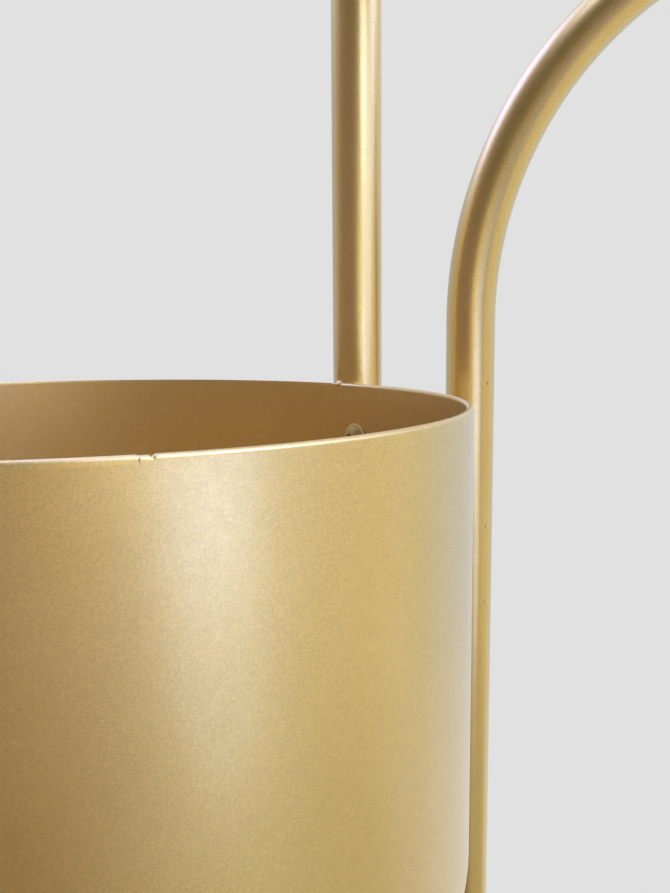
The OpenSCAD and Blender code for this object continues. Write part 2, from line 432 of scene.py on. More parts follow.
def tubeTree():
    # Sweeps a hollow tube along the incoming line and rounds both of its ends.
    tree, groupIn, groupOut = newTree("sweptTube", [
        ("Tube radius", "NodeSocketFloat", tubeRadius),
        ("Wall", "NodeSocketFloat", tubeLook["wall"]),
        ("End rounding", "NodeSocketFloat", tubeLook["endRound"]),
        ("Sides", "NodeSocketInt", tubeLook["sides"]),
        ("Material", "NodeSocketMaterial", None),
    ])
    line = addNode(tree, "GeometryNodeMeshToCurve")
    tree.links.new(groupIn.outputs["Geometry"], line.inputs["Mesh"])
    along = addNode(tree, "GeometryNodeSplineParameter").outputs["Length"]
    whole = addNode(tree, "GeometryNodeSplineLength").outputs["Length"]
    toEnd = calculate(tree, "MINIMUM", along, calculate(tree, "SUBTRACT", whole, along))
    share = calculate(tree, "DIVIDE", toEnd, groupIn.outputs["End rounding"])
    left = calculate(tree, "SUBTRACT", 1.0, calculate(tree, "MINIMUM", share, 1.0))
    squared = calculate(tree, "SUBTRACT", 1.0, calculate(tree, "MULTIPLY", left, left))
    fullness = calculate(tree, "SQRT", calculate(tree, "MAXIMUM", squared, 0.0))
    half = calculate(tree, "MULTIPLY", groupIn.outputs["Wall"], 0.5)
    middle = calculate(tree, "SUBTRACT", groupIn.outputs["Tube radius"], half)
    reach = calculate(tree, "MULTIPLY", half, fullness)
    circle = addNode(tree, "GeometryNodeCurvePrimitiveCircle", {"Radius": 1.0})
    tree.links.new(groupIn.outputs["Sides"], circle.inputs["Resolution"])
    join = addNode(tree, "GeometryNodeJoinGeometry")
    for side in ("ADD", "SUBTRACT"):
        sweep = addNode(tree, "GeometryNodeCurveToMesh")
        tree.links.new(line.outputs["Curve"], sweep.inputs["Curve"])
        tree.links.new(circle.outputs["Curve"], sweep.inputs["Profile Curve"])
        tree.links.new(calculate(tree, side, middle, reach), sweep.inputs["Scale"])
        surface = sweep.outputs["Mesh"]
        if side == "SUBTRACT":      # the bore faces inwards
            flip = addNode(tree, "GeometryNodeFlipFaces")
            tree.links.new(surface, flip.inputs["Mesh"])
            surface = flip.outputs["Mesh"]
        tree.links.new(surface, join.inputs["Geometry"])
    merge = addNode(tree, "GeometryNodeMergeByDistance", {"Distance": tubeLook["mergeWithin"]})
    smooth = addNode(tree, "GeometryNodeSetShadeSmooth")
    tree.links.new(join.outputs["Geometry"], merge.inputs["Geometry"])
    tree.links.new(merge.outputs["Geometry"], smooth.inputs["Geometry"])
    endTree(tree, groupIn, groupOut, smooth.outputs["Geometry"])
    return tree


def endPlaces(length):
    # Places along a straight run that starts at a rounded end.
    steps = tubeLook["endSteps"]
    rounding = tubeLook["endRound"]
    places = [rounding * (1 - math.cos(math.pi / 2 * step / steps)) for step in range(steps + 1)]
    return places + [2 * rounding, 4 * rounding, *tubeLook["rings"], length / 3, length * 2 / 3]


def linePoints(start, end, bothEnds=False):
    # Points of a straight run from a tube's end. Its last point is there only if it is a tube's end too.
    start, end = Vector(start), Vector(end)
    run = end - start
    places = endPlaces(run.length)
    if bothEnds:
        half = places[:-2]
        places = half + [run.length / 2] + [run.length - place for place in reversed(half)]
    return [start + run.normalized() * place for place in places]


def lineMesh(name, points):
    mesh = bpy.data.meshes.new(name)
    edges = [(index, index + 1) for index in range(len(points) - 1)]
    mesh.from_pydata([tuple(point) for point in points], edges, [])
    return mesh


def archPoints(node):
    low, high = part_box(node)
    leftX, rightX = low.x + tubeRadius, high.x - tubeRadius
    bend = (rightX - leftX) / 2
    springHeight = high.z - tubeRadius - bend
    left = linePoints((leftX, tubeLine, jointHeight), (leftX, tubeLine, springHeight))
    right = linePoints((rightX, tubeLine, jointHeight), (rightX, tubeLine, springHeight))
    steps = round(180 / tubeLook["bendStep"])
    arc = arcPoints(((leftX + rightX) / 2, springHeight), bend, 180, 0, steps)
    return left + [Vector((x, tubeLine, z)) for x, z in arc] + right[::-1]


sweptTube = tubeTree()
holeRise = tubeLook["holeRise"]


def makeTube(name, points, node, centres, rise):
    # A screw hole goes through the tube's back on each of these legs' centres, at this rise from the joint.
    piece = runTree(name, lineMesh(name + ".line", points), sweptTube, {
        "Tube radius": tubeRadius, "Wall": tubeLook["wall"], "End rounding": tubeLook["endRound"],
        "Sides": tubeLook["sides"], "Material": tubeGold})
    holes = [(centre.x, centre.y, jointHeight + rise) for centre in centres]
    reach = tubeRadius + cutBeyond
    cutters = [holeCutter(hole, (0, 1, 0), reach, tubeLook["holeRadius"]) for hole in holes]
    finishPiece(cutAway(piece, cutters, tubeLook["sharp"]), tubeGold, "gold_paint", node)


makeTube("tallArch", archPoints("tall_arch"), "tall_arch", legCentres[:2], holeRise)
makeTube("lowArch", archPoints("low_arch"), "low_arch", legCentres[2:], holeRise)
for legName, centre in zip(legNames, legCentres):
    foot = (centre.x, centre.y, legLow.z)
    top = (centre.x, centre.y, jointHeight)
    makeTube("leg." + legName, linePoints(foot, top, True), "leg_" + legName, [centre], -holeRise)
print("tubes made")


# Pot

potLook = {
    "sheet": 1.8 * mm,
    "sides": 480,
    "wallRings": [height * mm for height in (0, 2, 10, 20, 50, 80, 88, 98, 103, 106)],
    "rimRings": [drop * mm for drop in (1.9, 1.6, 1.2, 0.8, 0.5, 0.3)],
    "rimSteps": 16,
    "floorRings": (8 * mm, 30 * mm, 55 * mm),
    "cornerRadius": 30 * mm,
    "cornerSteps": 24,
    "sharp": 40,                # degrees; the edges at the weld stay crisp
}

slopeLook = {
    "from": 44.0,               # from here round the back the rim is ground to slope outwards
    "to": 205.0,
    "fadeIn": 1.6,
    "fadeOut": 12.8,
    # Its outer edge: in from the outside, and up as a share of half the sheet.
    "outerEdge": ((0.0, 0.0), (0.03 * mm, 0.1), (0.12 * mm, 0.25)),
    "endIn": 0.12 * mm,         # where the slope ends, from the inside and from the rim's height
    "endDrop": 0.01 * mm,
    "innerRadius": 0.09 * mm,
    "innerDrop": 0.1 * mm,
}

seamLook = {
    "angle": -69.3,             # the wall's welded seam, in degrees round the pot from +X
    "fineStep": 0.12 * mm,      # columns of faces beside the seam
    "fineSteps": 30,
    "notchDepth": 0.36 * mm,
    "notchWidth": 0.36 * mm,
    "lowered": 0.12 * mm,       # the rim beside the notch, up to the crack
    "crackAt": -2.09 * mm,
    "crackDepth": 0.05 * mm,
    "crackWidth": 0.15 * mm,
    "crackRun": 0.7 * mm,       # how far the crack goes down the outside
    "leanIn": 0.10 * mm,
    "leanFade": 40 * mm,
    "lineDepth": 0.002 * mm,    # faint hollow along the ground weld
    "lineWidth": 2.0 * mm,
}


def wallAngles():
    # Even round the pot, and close together at the seam.
    seam = math.radians(seamLook["angle"])
    count = seamLook["fineSteps"]
    fine = [seamLook["fineStep"] * step / potRadius for step in range(-count, count + 1)]
    angles = {round(seam + offset, 9) for offset in fine}
    step = 2 * math.pi / potLook["sides"]
    for index in range(potLook["sides"]):
        angle = seam + index * step
        offset = (angle - seam + math.pi) % (2 * math.pi) - math.pi
        if abs(offset) > fine[-1] + step / 4:
            angles.add(round(seam + offset, 9))
    return sorted(angles)


def bell(distance, width):
    return math.exp(-(distance / width) ** 2)


def seamPull(angle):
    # At this angle: the notch in the rim's top, the crack, the rim's lean beyond it and the weld's hollow.
    turn = (angle - math.radians(seamLook["angle"]) + math.pi) % (2 * math.pi) - math.pi
    along = turn * potRadius
    crackAt = seamLook["crackAt"]
    notch = seamLook["notchDepth"] * bell(along, seamLook["notchWidth"])
    if crackAt < along < -seamLook["notchWidth"]:
        notch = max(notch, seamLook["lowered"])
    crack = seamLook["crackDepth"] * bell(along - crackAt, seamLook["crackWidth"])
    lean = 0.0
    if along < crackAt:
        lean = seamLook["leanIn"] * math.exp((along - crackAt) / seamLook["leanFade"])
    line = seamLook["lineDepth"] * bell(along, seamLook["lineWidth"])
    return notch, crack, lean, line


def slopeShare(angle):
    # 1 where the rim slopes outwards, 0 where it is fully rounded.
    degrees = math.degrees(angle) % 360
    rising = (degrees - slopeLook["from"]) / slopeLook["fadeIn"]
    falling = (slopeLook["to"] - degrees) / slopeLook["fadeOut"]
    return max(0.0, min(1.0, rising, falling))


def slopedRim(inner, top):
    # The rim's section where it slopes outwards, with as many points as the round one.
    look = slopeLook
    half = potLook["sheet"] / 2
    points = [(potRadius - inset, top + share * half) for inset, share in look["outerEdge"]]
    corner = (inner + look["innerRadius"], rimHeight - look["innerDrop"])
    innerEdge = arcPoints(corner, look["innerRadius"], 80, 180, 2) + [(inner, top)]
    straight = potLook["rimSteps"] + 1 - len(points) - len(innerEdge)
    start, end = points[-1], (inner + look["endIn"], rimHeight - look["endDrop"])
    for step in range(1, straight + 1):
        share = step / straight
        points.append((between(start[0], end[0], share), between(start[1], end[1], share)))
    return points + innerEdge


def potWall():
    sheet, steps = potLook["sheet"], potLook["rimSteps"]
    heights, nearRim = potLook["wallRings"], potLook["rimRings"]
    middle = potRadius - sheet / 2
    inner = potRadius - sheet
    top = rimHeight - sheet / 2
    sloped = slopedRim(inner, top)
    columns = []
    for angle in wallAngles():
        notch, crack, lean, line = seamPull(angle)
        slope = slopeShare(angle)
        outside = [(potRadius - line, wallLow.z + height) for height in heights]
        outside += [(potRadius - line - crack * max(0.0, 1 - below / seamLook["crackRun"]), top - below)
                    for below in nearRim]
        rim = []
        for step in range(steps + 1):
            turn = math.pi * step / steps
            reach = sheet / 2 - crack - notch * math.sin(turn)
            # Towards the outside the line of the seam carries on over the rim.
            across = middle + reach * math.cos(turn) - lean - line * (1 - step / steps)
            height = top + reach * math.sin(turn)
            rim.append((across * (1 - slope) + sloped[step][0] * slope,
                        height * (1 - slope) + sloped[step][1] * slope))
        inside = [(inner, top - below) for below in reversed(nearRim)]
        inside += [(inner, wallLow.z + height) for height in reversed(heights)]
        section = turnProfile(outside + rim + inside, [angle], (potCentre.x, potCentre.y, 0))
        columns.append([ring[0] for ring in section])
    rows = [list(row) for row in zip(*columns)]
    return newObject("potWall", sharpened(gridMesh("potWall", rows, wrapRows=True), potLook["sharp"]))


def potDish():
    sheet = potLook["sheet"]
    corner = potLook["cornerRadius"]
    rings = potLook["floorRings"]
    bottom = dishLow.z
    centre = (potRadius - corner, bottom + corner)
    outerCorner = arcPoints(centre, corner, 270, 360, potLook["cornerSteps"])
    innerCorner = arcPoints(centre, corner - sheet, 360, 270, potLook["cornerSteps"])
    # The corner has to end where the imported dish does.
    assert abs(outerCorner[-1][1] - dishHigh.z) < 0.01 * mm
    outside = [(radius, bottom) for radius in rings] + outerCorner
    inside = innerCorner + [(radius, bottom + sheet) for radius in reversed(rings)]
    rows = turnProfile(outside + inside, evenAngles(potLook["sides"]), (potCentre.x, potCentre.y, 0))
    mesh = gridMesh("potDish", rows, startPole=(potCentre.x, potCentre.y, bottom),
                    endPole=(potCentre.x, potCentre.y, bottom + sheet))
    return newObject("potDish", sharpened(mesh, potLook["sharp"]))


potScrewLook = {
    "turn": 39.2,             # degrees round the pot from +X
    "drops": (17 * mm, 95 * mm),
    "length": 6.95 * mm,
    "holeRadius": 2.25 * mm,
    "cutFrom": 4 * mm,        # a hole's cutter starts this far inside the pot's outer face
    "cutRun": 6 * mm,
    "seed": 8,
}


def potScrewPlaces(reach, inwards):
    # Places on the pot's four screw axes at this distance from the pot's axis.
    places = []
    for turn in (potScrewLook["turn"], 180 - potScrewLook["turn"]):
        out = Vector((math.cos(math.radians(turn)), math.sin(math.radians(turn)), 0))
        for drop in potScrewLook["drops"]:
            place = Vector((potCentre.x, potCentre.y, rimHeight - drop)) + out * reach
            places.append((place, -out if inwards else out))
    return places


screwHoles = [holeCutter(place, out, potScrewLook["cutRun"], potScrewLook["holeRadius"])
              for place, out in potScrewPlaces(potRadius - potScrewLook["cutFrom"], False)]
finishPiece(cutAway(potWall(), screwHoles, potLook["sharp"]), gold, "gold_paint", "pot_wall")
finishPiece(potDish(), gold, "gold_paint", "pot_dish")
print("pot made")


# Screws, washers, paint beads and pads: one shape of each, set at every place by the same tree

def settingTree():
    # Sets the template on every point, turned to face as the point says and then by chance about its axis.
    tree, groupIn, groupOut = newTree("setOnPoints", [
        ("Template", "NodeSocketObject", None),
        ("Seed", "NodeSocketInt", 1),
        ("Largest turn", "NodeSocketFloat", 2 * math.pi),
        ("Material", "NodeSocketMaterial", None),
    ])
    facing = addNode(tree, "GeometryNodeInputNamedAttribute", {"Name": "facing"}, data_type="FLOAT_VECTOR")
    size = addNode(tree, "GeometryNodeInputNamedAttribute", {"Name": "size"}, data_type="FLOAT")
    aim = addNode(tree, "FunctionNodeAlignRotationToVector", axis="Z")
    chance = addNode(tree, "FunctionNodeRandomValue", data_type="FLOAT")
    angles = addNode(tree, "ShaderNodeCombineXYZ")
    turn = addNode(tree, "FunctionNodeEulerToRotation")
    rotate = addNode(tree, "FunctionNodeRotateRotation", rotation_space="LOCAL")
    template = addNode(tree, "GeometryNodeObjectInfo")
    place = addNode(tree, "GeometryNodeInstanceOnPoints")
    link = tree.links.new
    link(facing.outputs["Attribute"], aim.inputs["Vector"])
    link(groupIn.outputs["Largest turn"], chance.inputs[3])
    link(groupIn.outputs["Seed"], chance.inputs["Seed"])
    link(chance.outputs[1], angles.inputs["Z"])
    link(angles.outputs["Vector"], turn.inputs["Euler"])
    link(aim.outputs["Rotation"], rotate.inputs["Rotation"])
    link(turn.outputs["Rotation"], rotate.inputs["Rotate By"])
    link(groupIn.outputs["Template"], template.inputs["Object"])
    link(groupIn.outputs["Geometry"], place.inputs["Points"])
    link(template.outputs["Geometry"], place.inputs["Instance"])
    link(rotate.outputs["Rotation"], place.inputs["Rotation"])
    link(size.outputs["Attribute"], place.inputs["Scale"])
    endTree(tree, groupIn, groupOut, place.outputs["Instances"])
    return tree


def placesMesh(name, places):
    # Points that remember which way their piece faces and how large it is.
    mesh = bpy.data.meshes.new(name)
    mesh.from_pydata([tuple(place[0]) for place in places], [], [])
    # Each one is filled before the next is made, because making one moves the others' data.
    facings = mesh.attributes.new("facing", "FLOAT_VECTOR", "POINT")
    for index, place in enumerate(places):
        facings.data[index].vector = place[1]
    sizes = mesh.attributes.new("size", "FLOAT", "POINT")
    for index, place in enumerate(places):
        sizes.data[index].value = place[2] if len(place) > 2 else 1.0
    return mesh


setOnPoints = settingTree()


def setPieces(name, templateMesh, places, seed, material, slotName, *nodes):
    # Sets the template at every place and finishes them as one piece.
    template = newObject(name + ".template", templateMesh)
    piece = runTree(name, placesMesh(name + ".places", places), setOnPoints, {
        "Template": template, "Seed": seed, "Material": material})
    bpy.data.objects.remove(template)
    finishPiece(piece, material, slotName, *nodes)


def hexReach(angle, acrossCorners):
    # From the axis of a hexagon to its side, at this angle.
    sixth = math.pi / 3
    return acrossCorners / 2 * math.cos(sixth / 2) / math.cos(angle % sixth - sixth / 2)


def hexRing(acrossCorners, height, sides, grow=0.0):
    points = []
    for angle in evenAngles(sides):
        reach = hexReach(angle, acrossCorners) + grow
        points.append((reach * math.cos(angle), reach * math.sin(angle), height))
    return points


screwLook = {
    "sides": 48,
    "headRadius": 3.8 * mm,
    "headHeight": 2.2 * mm,
    "domeShare": 0.8,
    "domeRings": [across * mm for across in (1.95, 2.35, 2.75, 3.1, 3.4)],
    "socket": 2.88 * mm,
    "socketFloor": 0.88 * mm,
    "floorDips": (0.12 * mm, 0.25 * mm),    # in the socket's floor, halfway in and in the middle
    "lip": 0.10 * mm,
    "edge": 0.18 * mm,
    "roundSteps": 4,
    "shankRadius": 2.0 * mm,
    "neckWidth": 0.3 * mm,                  # the step from the head to the shank
    "neckDepth": 0.05 * mm,
    "tip": 0.4 * mm,
    "sharp": 35,
}


def buttonScrew(name, length):
    # Head above the origin, shank below it, hexagonal socket in the domed head.
    look = screwLook
    sides, socket, lip, edge = look["sides"], look["socket"], look["lip"], look["edge"]
    radius, height, shank = look["headRadius"], look["headHeight"], look["shankRadius"]
    socketFloor, tip, steps = look["socketFloor"], look["tip"], look["roundSteps"]
    halfwayDip, middleDip = look["floorDips"]
    domeHeight = look["domeShare"] * height
    domeRadius = (radius * radius + domeHeight * domeHeight) / (2 * domeHeight)

    def domeAt(across):
        return height - domeRadius + math.sqrt(domeRadius * domeRadius - across * across)

    rows = [hexRing(socket * 0.5, socketFloor - halfwayDip, sides),
            hexRing(socket, socketFloor, sides),
            hexRing(socket, domeAt(socket / 2) - lip, sides)]
    for step in range(1, steps + 1):
        turn = math.pi / 2 * step / steps
        ring = hexRing(socket, 0, sides, lip * (1 - math.cos(turn)))
        rows.append([(x, y, domeAt(math.hypot(x, y)) - lip * (1 - math.sin(turn))) for x, y, z in ring])
    outline = [(across, domeAt(across)) for across in look["domeRings"]]
    # The dome turns over into the head's side, rounded in shares of the edge.
    rim = height - domeHeight
    outline += [(radius - edge * 0.7, domeAt(radius - edge * 0.7)), (radius - edge * 0.2, rim + edge * 0.25),
                (radius, rim - edge * 0.6), (radius, edge)]
    outline += arcPoints((radius - edge, edge), edge, 0, -90, steps)[1:]
    outline += [(shank + look["neckWidth"], 0.0), (shank, -look["neckDepth"]), (shank, -length + tip),
                (shank - tip, -length)]
    rows += turnProfile(outline, evenAngles(sides))
    # The rows run from the shank's tip to the socket, so that the faces point outwards.
    mesh = gridMesh(name, rows[::-1], startPole=(0, 0, -length), endPole=(0, 0, socketFloor - middleDip))
    return sharpened(mesh, look["sharp"])


footScrewLook = {
    "headRadius": 8.0 * mm,
    "shankRadius": 4.0 * mm,
    "headHeight": 4.0 * mm,
    "length": 22.0 * mm,
    "faceRings": (4.2 * mm, 6 * mm),
    "socket": 5.76 * mm,
    "socketDepth": 2.4 * mm,
    "floorDips": (0.15 * mm, 0.3 * mm),
    "edge": 0.25 * mm,
    "tip": 1 * mm,
    "sharp": 30,
    "seed": 5,
}


def footScrew(name):
    # Countersunk: its flat face is at the origin, and the shank runs down from it.
    look = footScrewLook
    sides, socket, edge, tip = screwLook["sides"], look["socket"], look["edge"], look["tip"]
    head, shank, depth, length = look["headRadius"], look["shankRadius"], look["socketDepth"], look["length"]
    halfwayDip, middleDip = look["floorDips"]
    rows = [hexRing(socket * 0.5, -depth - halfwayDip, sides),
            hexRing(socket, -depth, sides),
            hexRing(socket, -edge, sides),
            hexRing(socket, 0, sides, edge)]
    outline = [(across, 0) for across in look["faceRings"]]
    outline += [(head - 2 * edge, 0), (head - edge, -0.3 * edge), (head - edge, -edge),
                (shank, -look["headHeight"]), (shank, -length + tip), (shank - tip, -length)]
    rows += turnProfile(outline, evenAngles(sides))
    mesh = gridMesh(name, rows[::-1], startPole=(0, 0, -length), endPole=(0, 0, -depth - middleDip))
    return sharpened(mesh, look["sharp"])


washerLook = {
    "radius": 4.5 * mm,
    "boreRadius": 2.05 * mm,
    "thickness": 0.8 * mm,
    "edge": 0.2 * mm,
    "edgeSteps": 4,
    "sides": 64,
    "seat": 98.047 * mm,      # from the pot's axis to the washer's back
    "seed": 9,
}


def washer(name, look):
    # A flat ring from the origin up, with rounded edges.
    edge = look["edge"]
    outer, inner, upper = look["radius"] - edge, look["boreRadius"] + edge, look["thickness"] - edge
    corners = ((outer, upper, 90), (outer, edge, 0), (inner, edge, -90), (inner, upper, -180))
    profile = []
    for radius, height, start in corners:
        profile += arcPoints((radius, height), edge, start, start - 90, look["edgeSteps"])
    return gridMesh(name, turnProfile(profile[::-1], evenAngles(look["sides"])), wrapRows=True)


padLook = {
    "radius": 10 * mm,
    "edge": 1.0 * mm,
    "edgeSteps": 6,
    "dish": 0.5 * mm,
    "dishRing": 3 * mm,
    "dishTo": 4 * mm,         # in from the side: the hollow is full, half as deep and gone
    "dishHalf": 3.2 * mm,
    "dishEnd": 2.8 * mm,
    "topDrop": 0.3 * mm,      # the moulded upper edge
    "topInset": 0.1 * mm,
    "topRing": 0.6,           # share of the radius
    "sides": 72,
    "sharp": 50,
    "seed": 11,
}


def pad(name, thickness):
    # A moulded disc, rounded at its lower edge and slightly hollow underneath.
    look = padLook
    radius, edge, dish = look["radius"], look["edge"], look["dish"]
    outline = [(look["dishRing"], dish), (radius - look["dishTo"], dish),
               (radius - look["dishHalf"], dish * 0.5), (radius - look["dishEnd"], 0)]
    outline += arcPoints((radius - edge, edge), edge, -90, 0, look["edgeSteps"])
    outline += [(radius, thickness - look["topDrop"]), (radius - look["topInset"], thickness),
                (radius * look["topRing"], thickness)]
    rows = turnProfile(outline, evenAngles(look["sides"]))
    mesh = gridMesh(name, rows, startPole=(0, 0, dish), endPole=(0, 0, thickness))
    return sharpened(mesh, look["sharp"])


jointScrewLook = {"length": 5.7 * mm, "seed": 3}
seatBack = tubeLine + tubeRadius + seatGap
jointPlaces = [((centre.x, seatBack, jointHeight + side * holeRise), (0, 1, 0))
               for centre in legCentres for side in (-1, 1)]
setPieces("jointScrews", buttonScrew("jointScrew", jointScrewLook["length"]), jointPlaces,
          jointScrewLook["seed"], zinc, "zinc_steel", "joint_screws")

footPlaces = [((centre.x, centre.y, plateLow.z), (0, 0, -1)) for centre in legCentres]
setPieces("footScrews", footScrew("footScrew"), footPlaces, footScrewLook["seed"],
          zinc, "zinc_steel", "base_screws")

washerFront = washerLook["seat"] - washerLook["thickness"]
# The pot's screw heads get the gold that is painted darker as painted shade.
setPieces("potScrews", buttonScrew("potScrew", potScrewLook["length"]),
          potScrewPlaces(washerFront - seatGap, True), potScrewLook["seed"],
          screwGold, "gold_paint", "pot_screws")
setPieces("potWashers", washer("potWasher", washerLook), potScrewPlaces(washerFront, False),
          washerLook["seed"], tanRubber, "rubber", "pot_washers")

paintLook = {
    "sides": 28,
    "levels": 6,
    "height": 0.62,             # of a bead one unit in radius
    "uneven": ((2, 0.13, 0.8), (3, 0.08, 2.1), (5, 0.03, 0.4)),     # waves round it, depth, start
    "footShare": 0.8,           # the part below the surface
    "footDepth": 0.4,
    "rootDepth": 0.5,
    "beadTurn": 44.1,           # degrees round the pot: the bead on the back of its rim
    "beadRadius": 1.5 * mm,
    "beadDrop": 0.15 * mm,
    "beadLean": 0.4,
    "nibTurn": -54,             # degrees round the low arch's left leg
    "nibs": ((479.5 * mm, 0.62 * mm), (431.5 * mm, 0.45 * mm), (406.0 * mm, 0.40 * mm)),
    "seed": 6,
}


def paintBead(name):
    # A dried drop of paint: a low dome with an uneven outline, its foot sunk below the surface.
    look = paintLook
    rows = []
    for level in range(look["levels"]):
        turn = math.pi / 2 * level / look["levels"]
        row = []
        for angle in evenAngles(look["sides"]):
            reach = 1 + sum(size * math.sin(count * angle + start) for count, size, start in look["uneven"])
            row.append((reach * math.cos(turn) * math.cos(angle), reach * math.cos(turn) * math.sin(angle),
                        look["height"] * math.sin(turn)))
        rows.append(row)
    share = look["footShare"]
    rows.insert(0, [(x * share, y * share, -look["footDepth"]) for x, y, z in rows[0]])
    return gridMesh(name, rows, startPole=(0, 0, -look["rootDepth"]), endPole=(0, 0, look["height"]))


def paintPlaces():
    turn = math.radians(paintLook["beadTurn"])
    out = Vector((math.cos(turn), math.sin(turn), 0))
    axis = Vector((potCentre.x, potCentre.y, rimHeight - paintLook["beadDrop"]))
    rim = axis + out * (potRadius - potLook["sheet"] / 2)
    lean = paintLook["beadLean"]
    places = [(rim, (-lean * out.x, -lean * out.y, 1), paintLook["beadRadius"])]
    side = math.radians(paintLook["nibTurn"])
    away = Vector((math.cos(side), math.sin(side), 0))
    for height, size in paintLook["nibs"]:
        place = Vector((legCentres[2].x, legCentres[2].y, height)) + away * tubeRadius
        places.append((place, away, size))
    return places


setPieces("paintBeads", paintBead("paintBead"), paintPlaces(), paintLook["seed"], gold, "gold_paint")

padXs = (padLow.x + padLook["radius"], 0.0, padHigh.x - padLook["radius"])
padPlaces = [((x, side * (padHigh.y - padLook["radius"]), padLow.z), (0, 0, 1))
             for x in padXs for side in (-1, 1)]
setPieces("pads", pad("pad", padHigh.z - padLow.z), padPlaces, padLook["seed"], rubber, "rubber", "base_pads")
print("screws, washers, paint beads and pads made")


# Base plate

plateLook = {
    "corner": 60 * mm,
    "edge": 0.8 * mm,
    "edgeSteps": 5,
    "cornerSteps": 40,
    "faceRings": (3 * mm, 30 * mm, 56 * mm),
    "holeRadius": 4.25 * mm,
    "holeSides": 64,
    "sinkRadius": 8.25 * mm,
    "sinkFrom": 0.25 * mm,    # the countersink's cone starts this far below the plate
    "sinkDepth": 4.0 * mm,
    "sharp": 35,
}


def plateOutline(inset):
    # The plate's outline, this far in from its edge.
    halfX, halfY, corner = plateHigh.x, plateHigh.y, plateLook["corner"]
    points = []
    for turn, sideX, sideY in ((0, 1, 1), (90, -1, 1), (180, -1, -1), (270, 1, -1)):
        centre = (sideX * (halfX - corner), sideY * (halfY - corner))
        points += arcPoints(centre, corner - inset, turn, turn + 90, plateLook["cornerSteps"])
    return points


def basePlate():
    edge, steps = plateLook["edge"], plateLook["edgeSteps"]
    rows = []
    for centreZ, start in ((plateLow.z + edge, -90), (plateHigh.z - edge, 0)):
        for inset, height in arcPoints((0, centreZ), edge, start, start + 90, steps):
            rows.append([(x, y, height) for x, y in plateOutline(edge - inset)])
    # Rings on both faces keep the flat shading clean beside the rounded edge.
    for inset in plateLook["faceRings"]:
        rows.append([(x, y, plateHigh.z) for x, y in plateOutline(inset)])
        rows.insert(0, [(x, y, plateLow.z) for x, y in plateOutline(inset)])
    mesh = gridMesh("basePlate", rows)
    count = len(rows[0])
    work = bmesh.new()
    work.from_mesh(mesh)
    work.verts.ensure_lookup_table()
    work.faces.new(work.verts[index] for index in reversed(range(count)))
    top = (len(rows) - 1) * count
    work.faces.new(work.verts[top + index] for index in range(count))
    work.to_mesh(mesh)
    work.free()
    plate = newObject("basePlate", mesh)
    below, above = plateLow.z - cutBeyond, plateHigh.z + cutBeyond
    profile = [(plateLook["sinkRadius"], below),
               (plateLook["sinkRadius"], plateLow.z - plateLook["sinkFrom"]),
               (plateLook["holeRadius"], plateLow.z + plateLook["sinkDepth"]),
               (plateLook["holeRadius"], above)]
    cutters = []
    for centre in legCentres:
        rows = turnProfile(profile, evenAngles(plateLook["holeSides"]), (centre.x, centre.y, 0))
        cutters.append(gridMesh("cutter", rows, startPole=(centre.x, centre.y, below),
                                endPole=(centre.x, centre.y, above)))
    return cutAway(plate, cutters, plateLook["sharp"])


finishPiece(basePlate(), gold, "gold_paint", "base_plate")
print("base plate made")


# Lugs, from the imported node's own solids, and their weld beads

lugLook = {
    "edge": 0.5 * mm,
    "edgeSteps": 3,
    "flatWithin": 0.5,        # degrees between faces that become one
    "roundFrom": 50,          # degrees between faces at the edges that get rounded
    "shortest": 3 * mm,
    "onTubeWithin": 0.02 * mm,
    "sharp": 30,
}


def onTube(point):
    return any(abs(math.hypot(point.x - centre.x, point.y - centre.y) - tubeRadius) < lugLook["onTubeWithin"]
               for centre in legCentres)


def roundedLugs():
    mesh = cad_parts["pot_lugs"].data.copy()
    work = bmesh.new()
    work.from_mesh(mesh)
    bmesh.ops.remove_doubles(work, verts=work.verts, dist=mergeWithin)
    bmesh.ops.dissolve_limit(work, angle_limit=math.radians(lugLook["flatWithin"]), verts=work.verts,
                             edges=work.edges)
    edges = [edge for edge in work.edges if len(edge.link_faces) == 2
             and edge.calc_face_angle(0) > math.radians(lugLook["roundFrom"])
             and edge.calc_length() > lugLook["shortest"]
             and not (onTube(edge.verts[0].co) and onTube(edge.verts[1].co))]
    bmesh.ops.bevel(work, geom=edges, offset=lugLook["edge"], segments=lugLook["edgeSteps"], profile=0.5,
                    affect="EDGES", clamp_overlap=True)
    work.to_mesh(mesh)
    work.free()
    mesh.shade_smooth()
    return newObject("potLugs", sharpened(mesh, lugLook["sharp"]))


finishPiece(roundedLugs(), gold, "gold_paint", "pot_lugs")


weldLook = {
    "radius": 1.1 * mm,
    "ripple": 0.16,           # share of the radius
    "hollow": 0.84,           # share of the radius between two ripples
    "rise": 0.7,              # power of a ripple's slope
    "pitch": 1.3 * mm,        # from one ripple to the next
    "wander": 0.6,            # of the ripples, in pitches
    "wanderSize": 2.5 * mm,
    "tip": 0.01,
    "step": 0.16 * mm,
    "sides": 20,
    "run": 12 * mm,
    "runSteps": 8,
    "outward": 1.95 * mm,     # where the lug's back meets the tube, sideways from the screw's axis
    "back": 105.2 * mm,
    "seed": 4.0,
}


